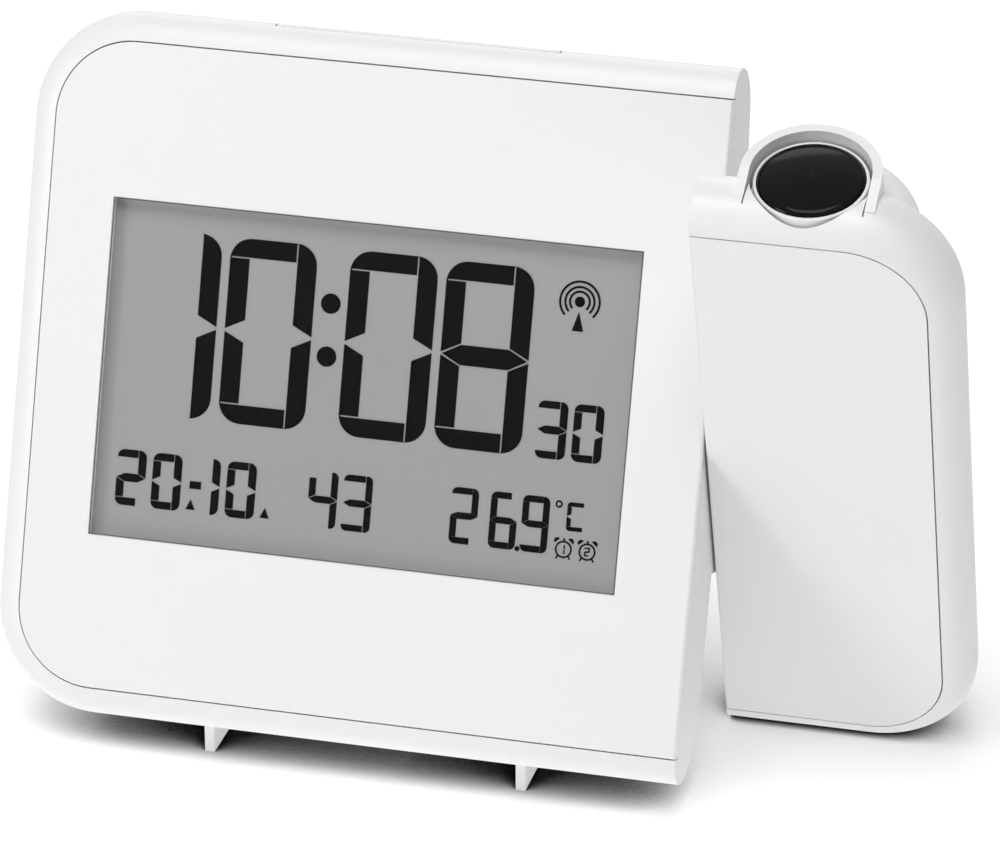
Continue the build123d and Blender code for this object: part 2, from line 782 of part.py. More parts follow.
with BuildPart() as hinge_washer:
    with BuildSketch(end_plane(A, washer_start)):
        Circle(clip_radius)
        Circle(pivot_radius + slip_fit, mode=Mode.SUBTRACT)
    extrude(amount=washer_thickness)
save(hinge_washer, "hinge_washer")

# ================= projector arm: case =================
arm_outer = slab(A, arm_left, arm_right, 0.0, 0.0)
arm_inner = slab(A, arm_left, arm_right, wall, wall)
arm_hump = hump(A, arm_left, arm_hump_right, arm_hump_bottom, arm_hump_top, 0.0, ("left",))
arm_hump_inner = hump(A, arm_left + wall, arm_hump_right, arm_hump_bottom, arm_hump_top, wall,
                      ("left",))
arm_screw_right = arm_right - arm_screw_inset
arm_screw_left = arm_left + arm_screw_inset
arm_screw_places = ((arm_screw_right, arm_screw_top), (arm_screw_right, arm_screw_bottom),
                    (arm_screw_left, arm_screw_bottom))
ring_bottom = ring_top - ring_height
pocket_floor = ring_bottom - pocket_clearance
slot_bottom = mount_bottom + 2 * wall


def tower(inset):
    """Round column behind the lens, from the hump up to the collar."""
    with BuildPart() as form:
        with BuildSketch(level_plane(A, tower_bottom + inset, head_x, head_w)):
            Circle(tower_radius - inset)
        extrude(amount=tower_top - tower_bottom - 2 * inset)
        levels = edges().group_by(Axis((0, 0, 0), tuple(up_of(A))))
        fillet(levels[0] + levels[-1], tower_rounding - inset)
        add(block(A, head_x - tower_radius, head_x + tower_radius, tower_bottom, tower_top,
                  head_w - tower_radius, head_w), mode=Mode.SUBTRACT)
    return form.part


def slot_outline(half_width, front):
    """U-shaped outline round the lens: straight cheeks and a round rear end."""
    front_edge = front - head_w
    with Locations((0, front_edge / 2)):
        Rectangle(2 * half_width, -front_edge)
    Circle(half_width)
    with Locations((0, front_edge - half_width)):
        Rectangle(3 * half_width, 2 * half_width, mode=Mode.SUBTRACT)


with BuildPart() as head_slot:
    with BuildSketch(level_plane(A, slot_bottom, head_x, head_w)):
        slot_outline(collar_inner_radius, slot_front)
    extrude(amount=collar_top + past - slot_bottom)

with BuildPart() as ring_pocket:
    add(upright_rod(A, head_x, head_w, pocket_radius, pocket_floor, collar_top + past))

# raised collar round the back of the lens, its cheeks falling away to the front
with BuildPart() as lens_collar:
    with BuildSketch(level_plane(A, collar_root, head_x, head_w)):
        slot_outline(collar_inner_radius + collar_wall, cheek_front)
    extrude(amount=collar_top - collar_root)
    with BuildSketch(end_plane(A, head_x - tower_radius)):
        with BuildLine():
            Polyline((head_w, collar_top), (cheek_front - past, unit_top - root),
                     (cheek_front - past, collar_top + past), (head_w, collar_top + past), close=True)
        make_face()
    extrude(amount=2 * tower_radius, mode=Mode.SUBTRACT)

with BuildPart() as arm_cavity:
    add(arm_inner)
    add(arm_hump_inner)
    add(tower(wall))
    for place_x, place_v in arm_screw_places:
        add(through_rod(A, place_x, place_v, well_radius + well_wall, well_underside, hump_back),
            mode=Mode.SUBTRACT)

with BuildPart() as arm_rear_housing:
    add(arm_outer)
    add(arm_hump)
    add(tower(0.0))
    add(lens_collar.part)
    add(arm_cavity.part, mode=Mode.SUBTRACT)
    add(head_slot.part, mode=Mode.SUBTRACT)
    add(ring_pocket.part, mode=Mode.SUBTRACT)
    add(panel_seat(A, arm_left, arm_right), mode=Mode.SUBTRACT)
    add(cross_rod(A, 0, 0, pivot_radius + pivot_clearance, arm_left - past, arm_left + wall + past),
        mode=Mode.SUBTRACT)
    add(screw_wells(A, arm_screw_places), mode=Mode.SUBTRACT)
save(arm_rear_housing, "arm_rear_housing")

with BuildPart() as arm_front_panel:
    add(front_panel(A, arm_left, arm_right, arm_screw_places))
save(arm_front_panel, "arm_front_panel")

with BuildPart() as arm_screws:
    for place_x, place_v in arm_screw_places:
        add(screw(A, place_x, place_v))
save(arm_screws, "arm_screws")

# ================= projector arm: lens and projector =================
with BuildPart() as mount_room:
    add(arm_outer)
    add(tower(0.0))
    add(upright_rod(A, head_x, head_w, collar_inner_radius, mount_bottom, pocket_floor))

with BuildPart() as lens_mount:
    with BuildSketch(level_plane(A, mount_bottom, head_x, head_w)):
        slot_outline(collar_inner_radius - mount_gap, slot_front)
    extrude(amount=unit_top - mount_bottom)
    add(mount_room.part, mode=Mode.INTERSECT)
    add(ring_pocket.part, mode=Mode.SUBTRACT)
    add(upright_rod(A, head_x, head_w, ring_sleeve_radius + ring_running_clearance, mount_bottom - past,
                    unit_top), mode=Mode.SUBTRACT)
save(lens_mount, "lens_mount")

sleeve_bottom = ring_bottom - ring_sleeve_length
lens_seat = ring_top - lens_seat_depth
with BuildPart() as focus_ring:
    add(upright_rod(A, head_x, head_w, ring_radius, ring_bottom, ring_top))
    rims = edges().group_by(Axis((0, 0, 0), tuple(up_of(A))))
    fillet(rims[0] + rims[-1], ring_edge_radius)
    add(upright_rod(A, head_x, head_w, ring_sleeve_radius, sleeve_bottom, ring_bottom + root))
    add(upright_rod(A, head_x, head_w, lens_radius + lens_glue, lens_seat, ring_top + past),
        mode=Mode.SUBTRACT)
    add(upright_rod(A, head_x, head_w, ring_sleeve_radius - ring_sleeve_wall, sleeve_bottom - past,
                    ring_top), mode=Mode.SUBTRACT)
save(focus_ring, "focus_ring")

lens_floor = lens_seat + lens_glue
lens_rim = lens_floor + lens_edge_height
lens_apex = lens_rim + lens_crown
dome_radius = (lens_radius ** 2 + lens_crown ** 2) / (2 * lens_crown)
with BuildPart() as projection_lens:
    with BuildSketch(end_plane(A, head_x)):
        with BuildLine():
            Polyline((head_w, lens_apex), (head_w, lens_floor), (head_w + lens_radius, lens_floor),
                     (head_w + lens_radius, lens_rim))
            RadiusArc((head_w + lens_radius, lens_rim), (head_w, lens_apex), -dome_radius)
        make_face()
        fillet(vertices().group_by(Axis.X)[-1].sort_by(Axis.Y)[-1], lens_edge_radius)
    revolve(axis=Axis(tuple(spot(A, head_x, 0, head_w)), tuple(up_of(A))))
save(projection_lens, "projection_lens")

tube_inner_radius = tube_radius - tube_wall
with BuildPart() as projector_tube:
    add(upright_rod(A, head_x, head_w, tube_radius, tube_bottom, mount_bottom - slip_fit))
    add(upright_rod(A, head_x, head_w, tube_inner_radius, tube_bottom + tube_floor, mount_bottom),
        mode=Mode.SUBTRACT)
    add(upright_rod(A, head_x, head_w, led_radius + slip_fit, tube_bottom - past,
                    tube_bottom + tube_floor + past), mode=Mode.SUBTRACT)
save(projector_tube, "projector_tube")

condenser_bottom = tube_bottom + condenser_rise
with BuildPart() as condenser_lens:
    add(upright_rod(A, head_x, head_w, tube_inner_radius - slip_fit / 2, condenser_bottom,
                    condenser_bottom + condenser_thickness))
save(condenser_lens, "condenser_lens")

mask_bottom = tube_bottom + mask_rise
with BuildPart() as projection_lcd:
    add(block(A, head_x - mask_width / 2, head_x + mask_width / 2, mask_bottom,
              mask_bottom + mask_thickness, head_w - mask_depth / 2, head_w + mask_depth / 2))
save(projection_lcd, "projection_lcd")

led_base_bottom = tube_bottom - 2 * led_base_height
led_bottom = led_base_bottom + led_base_height
with BuildPart() as projection_led:
    add(upright_rod(A, head_x, head_w, led_radius, led_bottom, led_bottom + led_height))
    add(block(A, head_x - led_base_side / 2, head_x + led_base_side / 2, led_base_bottom, led_bottom,
              head_w - led_base_side / 2, head_w + led_base_side / 2))
save(projection_led, "projection_led")

arm_board_front = panel_back + arm_board_offset
with BuildPart() as arm_circuit_board:
    add(block(A, arm_left + arm_board_left_inset, arm_right - arm_board_right_inset, arm_board_bottom,
              led_base_bottom - slip_fit, arm_board_front, arm_board_front + board_thickness))
save(arm_circuit_board, "arm_circuit_board")
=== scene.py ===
import json
from math import cos, pi, radians, sin

import bmesh
import bpy
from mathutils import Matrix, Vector


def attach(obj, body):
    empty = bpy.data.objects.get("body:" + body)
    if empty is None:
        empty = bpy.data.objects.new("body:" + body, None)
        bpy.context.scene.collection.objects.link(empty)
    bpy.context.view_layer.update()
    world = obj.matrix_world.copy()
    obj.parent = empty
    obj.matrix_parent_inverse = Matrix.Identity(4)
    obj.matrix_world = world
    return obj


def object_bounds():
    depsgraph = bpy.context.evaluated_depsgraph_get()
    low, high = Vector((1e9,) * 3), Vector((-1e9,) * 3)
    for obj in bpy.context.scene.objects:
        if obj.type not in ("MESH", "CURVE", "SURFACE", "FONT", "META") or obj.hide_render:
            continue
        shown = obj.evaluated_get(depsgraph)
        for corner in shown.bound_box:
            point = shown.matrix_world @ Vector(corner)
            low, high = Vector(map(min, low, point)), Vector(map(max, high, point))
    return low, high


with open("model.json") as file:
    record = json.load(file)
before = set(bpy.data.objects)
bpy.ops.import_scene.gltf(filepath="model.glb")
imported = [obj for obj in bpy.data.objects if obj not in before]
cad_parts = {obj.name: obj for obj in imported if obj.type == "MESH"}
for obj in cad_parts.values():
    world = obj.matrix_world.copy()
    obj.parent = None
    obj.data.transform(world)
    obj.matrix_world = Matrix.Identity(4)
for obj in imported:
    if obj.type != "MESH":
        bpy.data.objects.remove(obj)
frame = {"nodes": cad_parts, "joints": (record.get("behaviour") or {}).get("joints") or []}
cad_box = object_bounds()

nodes = frame["nodes"]


# ---------------------------------------------------------------- rear housings
# The display's and the arm's rear housings are shells of white ABS, injection moulded in
# a spark-eroded tool.  The eroded tool leaves a fine satin grain that takes the hard
# shine off the white.

def linear(hex_colour):
    """Turns an sRGB hex colour into the linear RGBA that the shaders take."""
    channels = [int(hex_colour[start:start + 2], 16) / 255 for start in (1, 3, 5)]
    return [c / 12.92 if c <= 0.04045 else ((c + 0.055) / 1.055) ** 2.4 for c in channels] + [1]


def per_metre(size_mm):
    """Texture scale of a pattern whose features are size_mm across.

    Real grain, flecks and frost are finer than can show, so they are drawn coarser, at 0.3 mm
    and more.
    """
    return 1000 / size_mm


def add_node(finish, kind, values=None, links=None, **settings):
    """Adds one node: its settings, the plain values of its inputs, and what feeds the others."""
    tree = finish.node_tree
    made = tree.nodes.new("ShaderNode" + kind)
    for name, setting in settings.items():
        setattr(made, name, setting)
    for socket, value in (values or {}).items():
        made.inputs[socket].default_value = value
    for socket, source in (links or {}).items():
        tree.links.new(source, made.inputs[socket])
    return made


def start_finish(name):
    """New material, still bare, and the object coordinates that its patterns lie in."""
    finish = bpy.data.materials.new(name)
    finish.use_nodes = True
    finish.node_tree.nodes.clear()
    return finish, add_node(finish, "TexCoord").outputs["Object"]


def dress(finish, *names):
    """Gives CAD nodes their finish."""
    for name in names:
        for slot in nodes[name].material_slots:
            slot.material = finish


abs_ior = 1.53
abs_flow_size = 25.0
abs_sheen_spread = 0.04
abs_grain_strength = 0.5


def moulded_abs(name, colour, deep_colour, roughness, grain_size, grain_depth):
    """White ABS straight from the tool: a near-even colour under a grain of that size and depth, in mm."""
    finish, place = start_finish(name)
    grain = add_node(finish, "TexNoise", {"Scale": per_metre(grain_size), "Detail": 3.0}, {"Vector": place})
    flow = add_node(finish, "TexNoise", {"Scale": per_metre(abs_flow_size), "Detail": 2.0},
                    {"Vector": place})
    tint = add_node(finish, "MixRGB", {"Color1": linear(colour), "Color2": linear(deep_colour)},
                    {"Fac": flow.outputs["Fac"]})
    sheen = add_node(finish, "MapRange", {"To Min": roughness - abs_sheen_spread,
                                          "To Max": roughness + abs_sheen_spread},
                     {"Value": grain.outputs["Fac"]})
    bump = add_node(finish, "Bump", {"Strength": abs_grain_strength, "Distance": grain_depth / 1000},
                    {"Height": grain.outputs["Fac"]})
    surface = add_node(finish, "BsdfPrincipled", {"IOR": abs_ior},
                       {"Base Color": tint.outputs["Color"], "Roughness": sheen.outputs["Result"],
                        "Normal": bump.outputs["Normal"]})
    add_node(finish, "OutputMaterial", links={"Surface": surface.outputs["BSDF"]})
    return finish


# Eroded ABS: the grain breaks the highlight into a soft, even satin white.
eroded_white_abs = moulded_abs("eroded_white_abs", "#E9E9E9", "#E7E7E8", 0.42, 0.5, 0.008)
dress(eroded_white_abs, "display_rear_housing", "arm_rear_housing")


# ---------------------------------------------------------------- front panels
# The front panels are flat ABS mouldings that snap into the housings and show a fine
# dark line all round.  Their tools are stoned smooth, so they look a little glossier
# and cleaner than the shells round them.
stoned_white_abs = moulded_abs("stoned_white_abs", "#EAEAEA", "#E9E9E9", 0.34, 0.9, 0.003)
dress(stoned_white_abs, "display_front_panel", "arm_front_panel")


# ---------------------------------------------------------------- display window
# A plate of clear acrylic, cut from cast sheet, coated against glare and set flush in the
# front panel to guard the liquid crystal glass.  It lets most light straight through, so
# the display behind it stays crisp under the thinnest gloss.
acrylic_ior = 1.49
straight_through = 0.96
coated_gloss = 0.03
roughest_polish = 0.03

cast_acrylic, place = start_finish("cast_acrylic")
ripple = add_node(cast_acrylic, "TexNoise", {"Scale": per_metre(12.0), "Detail": 1.0}, {"Vector": place})
polish = add_node(cast_acrylic, "MapRange", {"To Min": 0.0, "To Max": roughest_polish},
                  {"Value": ripple.outputs["Fac"]})
plate = add_node(cast_acrylic, "BsdfPrincipled",
                 {"Base Color": linear("#FBFCFC"), "IOR": acrylic_ior, "Specular IOR Level": coated_gloss,
                  "Transmission Weight": 1.0},
                 {"Roughness": polish.outputs["Result"]})
lamp_way = add_node(cast_acrylic, "BsdfTransparent")
window_ray = add_node(cast_acrylic, "LightPath")
lamp_ray = add_node(cast_acrylic, "Math", links={0: window_ray.outputs["Is Shadow Ray"],
                                                 1: window_ray.outputs["Is Diffuse Ray"]},
                    operation="MAXIMUM")
straight_share = add_node(cast_acrylic, "Math", {1: straight_through}, {0: lamp_ray.outputs["Value"]},
                          operation="MAXIMUM")
clear_plate = add_node(cast_acrylic, "MixShader", links={"Fac": straight_share.outputs["Value"],
                                                         1: plate.outputs["BSDF"],
                                                         2: lamp_way.outputs["BSDF"]})
add_node(cast_acrylic, "OutputMaterial", links={"Surface": clear_plate.outputs["Shader"]})
dress(cast_acrylic, "lcd_window")


# ---------------------------------------------------------------- liquid crystal glass
# Two sheets of glass with liquid crystal between them and a grey reflecting foil behind.
# The foil has a fine pearl grain, so the field is an even neutral grey.  The small display
# in the projector is made the same way.
glass_ior = 1.52

liquid_crystal_glass, place = start_finish("liquid_crystal_glass")
pearl = add_node(liquid_crystal_glass, "TexNoise", {"Scale": per_metre(0.4), "Detail": 2.0},
                 {"Vector": place})
field = add_node(liquid_crystal_glass, "MixRGB",
                 {"Color1": linear("#9B9B9B"), "Color2": linear("#9F9F9F")},
                 {"Fac": pearl.outputs["Fac"]})
cell_face = add_node(liquid_crystal_glass, "BsdfPrincipled",
                     {"IOR": glass_ior, "Roughness": 0.3, "Specular IOR Level": 0.1},
                     {"Base Color": field.outputs["Color"]})
add_node(liquid_crystal_glass, "OutputMaterial", links={"Surface": cell_face.outputs["BSDF"]})
dress(liquid_crystal_glass, "lcd_glass", "projection_lcd")


# ---------------------------------------------------------------- time segments
# The dark figures are segments of liquid crystal, switched on in the front of the glass.
# They stand a hair proud of it here.  The largest show the time, with small seconds
# beside them.  Their sizes are in mm, and their places from the window's lower left corner.
joints = {joint["name"]: joint for joint in frame["joints"]}
hinge_point = Vector(joints["arm_hinge"]["pos_m"])
display_right = Vector((1, 0, 0))
display_up = -Vector(joints["battery_door_slide"]["axis"])
display_back = -Vector(joints["key_set_press"]["axis"])


def reach(name, direction):
    """Lowest and highest place of a CAD node along a direction from the hinge."""
    places = [(corner.co - hinge_point).dot(direction) for corner in nodes[name].data.vertices]
    return min(places), max(places)


window_left = reach("lcd_window", display_right)[0]
window_bottom = reach("lcd_window", display_up)[0]
glass_front = reach("lcd_glass", display_back)[0]
segment_rise = 0.00004


def on_glass(x, y, rise):
    """Point of the display, x and y in mm from the window's lower left corner, so far proud of the glass."""
    return (hinge_point + display_right * (window_left + x / 1000)
            + display_up * (window_bottom + y / 1000) + display_back * (glass_front - rise))


def arc(centre, radius, start, end, steps):
    """Points on an arc, with the angles in degrees."""
    angles = [radians(start + (end - start) * step / steps) for step in range(steps + 1)]
    return [(centre[0] + radius * cos(angle), centre[1] + radius * sin(angle)) for angle in angles]


def dot(centre, radius, corners):
    """Outline of a round dot with so many corners."""
    return arc(centre, radius, 0, 360 - 360 / corners, corners - 1)


def line_parts(centre, radius, line, start, end, steps):
    """Short four-cornered pieces that make a curved line of that width."""
    outer = arc(centre, radius + line / 2, start, end, steps)
    inner = arc(centre, radius - line / 2, start, end, steps)
    return [[outer[k], outer[k + 1], inner[k + 1], inner[k]] for k in range(steps)]


def rounding(centre, radius, start):
    """Quarter turn that rounds the corner of a digit."""
    return arc(centre, radius, start, start + 90, 8)


def segments_of(lit, left, bottom, width, height, stroke, corner, gap):
    """Outlines of a digit's lit segments, a to g, with round outer corners and pointed inner ends."""
    right, top, middle = left + width, bottom + height, bottom + height / 2
    inner_right = right - stroke
    point, shoulder = gap, stroke / 2 + gap
    outlines = {
        "a": [(left, top - stroke + gap), (inner_right - gap, top - stroke + gap), (inner_right - gap, top)]
        + rounding((left + corner, top - corner), corner, 90),
        "b": [(inner_right, middle + shoulder), (right, middle + point)]
        + rounding((right - corner, top - corner), corner, 0) + [(inner_right, top)],
        "c": [(right, middle - point), (inner_right, middle - shoulder), (inner_right, bottom)]
        + rounding((right - corner, bottom + corner), corner, -90),
        "d": [(inner_right - gap, bottom), (inner_right - gap, bottom + stroke - gap),
              (left, bottom + stroke - gap)] + rounding((left + corner, bottom + corner), corner, 180),
        "e": [(left, bottom + stroke), (left + stroke, bottom + stroke),
              (left + stroke, middle - shoulder), (left, middle - point)],
        "f": [(left, middle + point), (left + stroke, middle + shoulder),
              (left + stroke, top - stroke), (left, top - stroke)],
        "g": [(left + gap, middle), (left + stroke, middle - stroke / 2),
              (inner_right, middle - stroke / 2), (right - gap, middle),
              (inner_right, middle + stroke / 2), (left + stroke, middle + stroke / 2)],
    }
    return [outlines[segment] for segment in lit]


lit_segments = {"0": "abcdef", "1": "bc", "2": "abged", "3": "abgcd", "4": "fgbc", "6": "afgedc",
                "8": "abcdefg", "9": "abcdfg", "C": "adef"}


def figures(text, lefts, bottom, **style):
    """Outlines of a row of digits of one style that start at the given lefts."""
    outlines = []
    for digit, left in zip(text, lefts):
        outlines += segments_of(lit_segments[digit], left, bottom, **style)
    return outlines


liquid_crystal_dark, place = start_finish("liquid_crystal_dark")
cloud = add_node(liquid_crystal_dark, "TexNoise", {"Scale": per_metre(0.6), "Detail": 2.0},
                 {"Vector": place})
depth = add_node(liquid_crystal_dark, "MixRGB",
                 {"Color1": linear("#0E0E0F"), "Color2": linear("#131314")},
                 {"Fac": cloud.outputs["Fac"]})
switched_on = add_node(liquid_crystal_dark, "BsdfPrincipled",
                       {"IOR": glass_ior, "Roughness": 0.35, "Specular IOR Level": 0.02},
                       {"Base Color": depth.outputs["Color"]})
add_node(liquid_crystal_dark, "OutputMaterial", links={"Surface": switched_on.outputs["BSDF"]})


def add_piece(name, form, finish):
    """Object of that finish, made from a form that is ready."""
    mesh = bpy.data.meshes.new(name)
    form.to_mesh(mesh)
    form.free()
    mesh.materials.append(finish)
    piece = bpy.data.objects.new(name, mesh)
    bpy.context.scene.collection.objects.link(piece)
    return piece


def lay_segments(name, outlines):
    """One piece of thin closed solids on the glass, one for each outline."""
    form = bmesh.new()
    for outline in outlines:
        front = [form.verts.new(on_glass(x, y, segment_rise)) for x, y in outline]
        rear = [form.verts.new(on_glass(x, y, 0)) for x, y in outline]
        form.faces.new(front)
        form.faces.new(rear[::-1])
        for k in range(len(outline)):
            following = (k + 1) % len(outline)
            form.faces.new((front[following], front[k], rear[k], rear[following]))
    bmesh.ops.recalc_face_normals(form, faces=form.faces)
    segments = add_piece(name, form, liquid_crystal_dark)
    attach(segments, "display_unit")


time_style = dict(width=14.4, height=29.8, stroke=3.25, corner=3.5, gap=0.2)
time_bottom, time_pitch = 20.15, 15.8
hours_left, minutes_left = 3.71, 39.4
time_marks = figures("1008", (hours_left, hours_left + time_pitch, minutes_left, minutes_left + time_pitch),
                     time_bottom, **time_style)
colon_x, colon_radius = 36.65, 1.63
for colon_y in (32.47, 40.97):
    time_marks.append(dot((colon_x, colon_y), colon_radius, 36))
lay_segments("time_segments", time_marks)

small_gap = 0.09
seconds_style = dict(width=4.9, height=9.2, stroke=1.3, corner=1.15, gap=small_gap)
seconds_lefts = (71.83, 77.7)
lay_segments("seconds_segments", figures("30", seconds_lefts, time_bottom, **seconds_style))


# ---------------------------------------------------------------- date and week segments
# The lower row starts with day and month, parted by a dash, and the number of the week.
# Small pointers behind the figures tell the day from the month.
row_bottom, row_height = 5.03, 9.05
date_style = dict(width=4.9, height=row_height, stroke=1.35, corner=1.2, gap=small_gap)
date_pitch, day_month_gap = 6.0, 6.44
day_left = 3.39
month_left = day_left + date_pitch + day_month_gap
date_marks = figures("2010", (day_left, day_left + date_pitch, month_left, month_left + date_pitch),
                     row_bottom, **date_style)

dash_left, dash_right, dash_bottom, dash_top = 15.7, 17.64, 8.9, 10.15
date_marks.append([(dash_left, dash_bottom), (dash_right, dash_bottom), (dash_right, dash_top),
                   (dash_left, dash_top)])

pointer_bottom, pointer_width, pointer_height = 5.5, 1.6, 1.7
for pointer_left in (15.3, 27.7):
    date_marks.append([(pointer_left, pointer_bottom), (pointer_left + pointer_width, pointer_bottom),
                       (pointer_left + pointer_width / 2, pointer_bottom + pointer_height)])
lay_segments("date_segments", date_marks)

week_style = dict(width=4.8, height=row_height, stroke=1.15, corner=0.9, gap=small_gap)
week_lefts = (35.5, 41.2)
lay_segments("week_segments", figures("43", week_lefts, row_bottom, **week_style))


# ---------------------------------------------------------------- temperature segments
# The room's temperature ends the lower row: three slimmer digits with a decimal point,
# then the ring and the letter of the unit.
fine_gap = 0.03
warmth_style = dict(width=4.45, height=row_height, stroke=1.1, corner=1.0, gap=fine_gap)
warmth_lefts = (59.0, 65.45, 70.64)
warmth_marks = figures("269", warmth_lefts, row_bottom, **warmth_style)

decimal_point, decimal_radius = (70.3, 5.35), 0.42
warmth_marks.append(dot(decimal_point, decimal_radius, 12))
degree_centre, degree_radius, degree_line = (76.5, 13.2), 0.46, 0.3
warmth_marks += line_parts(degree_centre, degree_radius, degree_line, 0, 360, 14)
unit_style = dict(width=3.4, height=4.6, stroke=0.72, corner=0.6, gap=fine_gap)
unit_left, unit_bottom = 77.9, 9.1
warmth_marks += segments_of(lit_segments["C"], unit_left, unit_bottom, **unit_style)
lay_segments("temperature_segments", warmth_marks)


# ---------------------------------------------------------------- radio mark
# The mark for reception of the time signal: a mast under a dot, and three waves round it
# that leave the side of the mast open.
signal_x, signal_y = 77.05, 45.45
signal_dot, signal_line = 0.85, 0.37
wave_start, wave_end = -45, 225
signal_marks = [dot((signal_x, signal_y), signal_dot, 18)]
for wave_radius in (1.6, 2.35, 3.2):
    signal_marks += line_parts((signal_x, signal_y), wave_radius, signal_line, wave_start, wave_end, 30)

mast_top, mast_foot = signal_y - 1.55, signal_y - 4.7
mast_spread = 0.95
signal_marks.append([(signal_x, mast_top), (signal_x - mast_spread, mast_foot),
                     (signal_x + mast_spread, mast_foot)])
lay_segments("radio_mark", signal_marks)


# ---------------------------------------------------------------- alarm marks
# Two little clocks with bells, legs and a knob, numbered one and two, show which alarms
# are set.
face_radius, face_line = 1.25, 0.3
bell_aside, bell_above, bell_radius, bell_lean = 1.08, 1.32, 0.55, 40
leg_corners = ((0.75, 1.15), (1.0, 1.0), (1.25, 1.5), (1.0, 1.62))
knob_above, knob_radius = 1.6, 0.2
number_height = 1.44
number_style = dict(width=0.9, height=number_height, stroke=0.25, corner=0.05, gap=0.0)


def little_clock(x, y, digit, digit_inset):
    """Outlines of the mark with its middle at x and y, and its digit starting so far left of that."""
    outlines = line_parts((x, y), face_radius, face_line, 0, 360, 28)
    for side in (-1, 1):
        bell_top = 90 - side * bell_lean
        outlines.append(arc((x + side * bell_aside, y + bell_above), bell_radius, bell_top - 90,
                            bell_top + 90, 10))
        outlines.append([(x + side * aside, y - below) for aside, below in leg_corners])
    outlines.append(dot((x, y + knob_above), knob_radius, 12))
    return outlines + segments_of(lit_segments[digit], x - digit_inset, y - number_height / 2,
                                  **number_style)


alarm_y = 6.07
lay_segments("alarm_marks", little_clock(77.8, alarm_y, "1", 0.66) + little_clock(81.65, alarm_y, "2", 0.45))


# ---------------------------------------------------------------- window edge painted shade
# A hair-thin dark strip with the look of black silicone lies on the edge of the window as
# painted shade for the narrow gap between window and panel.  It draws a fine dark line round the display.
# Painted shade: a dark grey with the look of black silicone, for the strip round the window.
painted_gap_shade, place = start_finish("painted_gap_shade")
gap_shade_speckle = add_node(painted_gap_shade, "TexNoise", {"Scale": per_metre(1.0), "Detail": 2.0}, {"Vector": place})
gap_shade_tint = add_node(painted_gap_shade, "MixRGB", {"Color1": linear("#4A4A4A"), "Color2": linear("#565656")},
                     {"Fac": gap_shade_speckle.outputs["Fac"]})
gap_shade_surface = add_node(painted_gap_shade, "BsdfPrincipled", {"IOR": 1.41, "Roughness": 0.5},
                        {"Base Color": gap_shade_tint.outputs["Color"]})
add_node(painted_gap_shade, "OutputMaterial", links={"Surface": gap_shade_surface.outputs["BSDF"]})

gap_shade_width = 0.00016
gap_shade_rise = 0.00003
window_right = reach("lcd_window", display_right)[1]
window_top = reach("lcd_window", display_up)[1]
window_front = reach("lcd_window", display_back)[0]


def gap_shade_loop(form, inset, rise):
    """Corners of one edge of the painted shade strip, so far in from the window's edge and so far proud of
    its face.
    """
    left, right = window_left + inset, window_right - inset
    bottom, top = window_bottom + inset, window_top - inset
    return [form.verts.new(hinge_point + display_right * x + display_up * y
                           + display_back * (window_front - rise))
            for x, y in ((left, bottom), (right, bottom), (right, top), (left, top))]


gap_shade_form = bmesh.new()
gap_shade_edges = (gap_shade_loop(gap_shade_form, 0, 0), gap_shade_loop(gap_shade_form, 0, gap_shade_rise),
              gap_shade_loop(gap_shade_form, gap_shade_width, gap_shade_rise), gap_shade_loop(gap_shade_form, gap_shade_width, 0))
for k in range(4):
    edge, next_edge = gap_shade_edges[k], gap_shade_edges[(k + 1) % 4]
    for corner in range(4):
        following = (corner + 1) % 4
        gap_shade_form.faces.new((edge[corner], edge[following], next_edge[following], next_edge[corner]))
bmesh.ops.recalc_face_normals(gap_shade_form, faces=gap_shade_form.faces)
# The strip lays the painted shade round the window's edge.
window_gap_shade = add_piece("window_gap_shade", gap_shade_form, painted_gap_shade)
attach(window_gap_shade, "display_unit")


# ---------------------------------------------------------------- light guide and frame
# Behind the glass a frosted acrylic guide spreads the backlight, and a moulded frame holds
# both against the panel.  The tube of the projector and the pivot of the hinge are moulded
# in the same plain ABS as the frame.
frost_size, frost_depth = 0.3, 0.00002
frosted_acrylic, place = start_finish("frosted_acrylic")
frost = add_node(frosted_acrylic, "TexNoise", {"Scale": per_metre(frost_size), "Detail": 2.0},
                 {"Vector": place})
frost_bump = add_node(frosted_acrylic, "Bump", {"Strength": 0.4, "Distance": frost_depth},
                      {"Height": frost.outputs["Fac"]})
guide = add_node(frosted_acrylic, "BsdfPrincipled",
                 {"Base Color": linear("#F2F4F5"), "IOR": acrylic_ior, "Roughness": 0.4,
                  "Transmission Weight": 0.4}, {"Normal": frost_bump.outputs["Normal"]})
add_node(frosted_acrylic, "OutputMaterial", links={"Surface": guide.outputs["BSDF"]})
dress(frosted_acrylic, "light_guide")

inner_abs = moulded_abs("inner_abs", "#E4E4E2", "#DEDEDC", 0.5, 0.8, 0.01)
dress(inner_abs, "lcd_frame", "projector_tube", "hinge_pivot")


